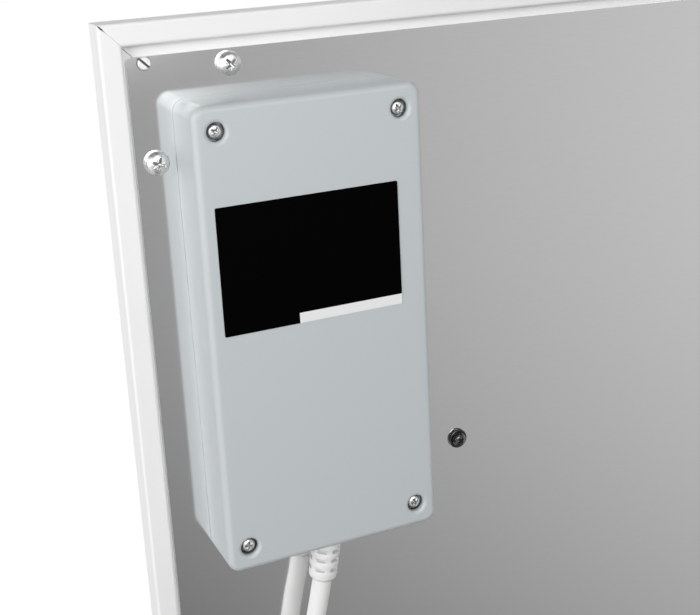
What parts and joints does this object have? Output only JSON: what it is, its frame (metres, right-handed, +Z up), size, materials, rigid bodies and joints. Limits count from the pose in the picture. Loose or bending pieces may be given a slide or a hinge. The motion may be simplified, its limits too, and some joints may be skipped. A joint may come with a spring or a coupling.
{
  "type": "infrared panel heater",
  "caption": "Flat infrared wall panel heater seen from its mounting side: mitred white frame, mirror-like back plate, corner junction box, and mains lead with a tied hank and plug.",
  "frame": {"origin": "on the mounting side of the back plate, midway between the four mounting screws, which is the middle of the panel", "axes": "+Z up as it hangs with the junction box at the top left of its back, +X along the panel's length, to the right when its back is seen, and +Y out of the heated face"},
  "size_m": [0.755, 0.047, 0.605],
  "materials": {
    "plate_metal": "smooth rolled sheet that mirrors softly",
    "screw_metal": "bright zinc plating",
    "base_plastic": "plain moulded white",
    "box_plastic": "pale blue-grey, satin",
    "terminal_plastic": "natural nylon",
    "cord_jacket": "white soft jacket, satin",
    "earth_wire": "green and yellow insulation",
    "brown_wire": "brown insulation",
    "blue_wire": "blue insulation",
    "key_steel": "plain zinc-plated steel",
    "label_film": "bare black film with a plain white strip",
    "pin_metal": "nickel-plated brass",
    "white_paint": "smooth satin white powder coat",
    "tie_plastic": "black hook-and-loop strap",
    "carbon_film": "black carbon film on board",
    "mineral_felt": "off-white mineral felt",
    "grey_rubber": "dark grey rubber",
    "black_metal": "glossy black zinc plating",
    "cutout_body": "dark moulded resin"
  },
  "bodies": {
    "root": {"back_plate": "plate_metal", "base_screw": "screw_metal", "box_base": "base_plastic", "box_cover": "box_plastic", "cable_clamp": "terminal_plastic", "clamp_screw": "screw_metal", "cord_hank": "cord_jacket", "cord_jacket_end": "cord_jacket", "cord_lead": "cord_jacket", "cord_tail": "cord_jacket", "cord_wire_earth": "earth_wire", "cord_wire_live": "brown_wire", "cord_wire_neutral": "blue_wire", "corner_key_bottom_left": "key_steel", "corner_key_bottom_right": "key_steel", "corner_key_top_left": "key_steel", "corner_key_top_right": "key_steel", "corner_set_screw_bottom_left": "screw_metal", "corner_set_screw_bottom_right": "screw_metal", "corner_set_screw_top_left": "screw_metal", "corner_set_screw_top_right": "screw_metal", "cover_label": "label_film", "cover_screw_bottom_left": "screw_metal", "cover_screw_bottom_right": "screw_metal", "cover_screw_top_left": "screw_metal", "cover_screw_top_right": "screw_metal", "earth_screw": "pin_metal", "earth_wire": "earth_wire", "frame_bottom": "white_paint", "frame_left": "white_paint", "frame_right": "white_paint", "frame_top": "white_paint", "front_panel": "white_paint", "hank_tie": "tie_plastic", "heater_wire_live": "brown_wire", "heater_wire_neutral": "blue_wire", "heating_board": "carbon_film", "insulation_blanket": "mineral_felt", "lead_grommet": "grey_rubber", "live_wire_to_cutout": "brown_wire", "mount_rail_left": "key_steel", "mount_rail_right": "key_steel", "mounting_screw_bottom_left": "black_metal", "mounting_screw_bottom_right": "black_metal", "mounting_screw_top_left": "black_metal", "mounting_screw_top_right": "black_metal", "plate_screw_bottom_left_level": "screw_metal", "plate_screw_bottom_left_upright": "screw_metal", "plate_screw_bottom_right_level": "screw_metal", "plate_screw_bottom_right_upright": "screw_metal", "plate_screw_top_left_level": "screw_metal", "plate_screw_top_left_upright": "screw_metal", "plate_screw_top_right_level": "screw_metal", "plate_screw_top_right_upright": "screw_metal", "plug_body": "cord_jacket", "plug_pin_left": "pin_metal", "plug_pin_right": "pin_metal", "strain_relief": "cord_jacket", "terminal_block": "terminal_plastic", "thermal_cutout": "cutout_body"}
  },
  "joints": []
}
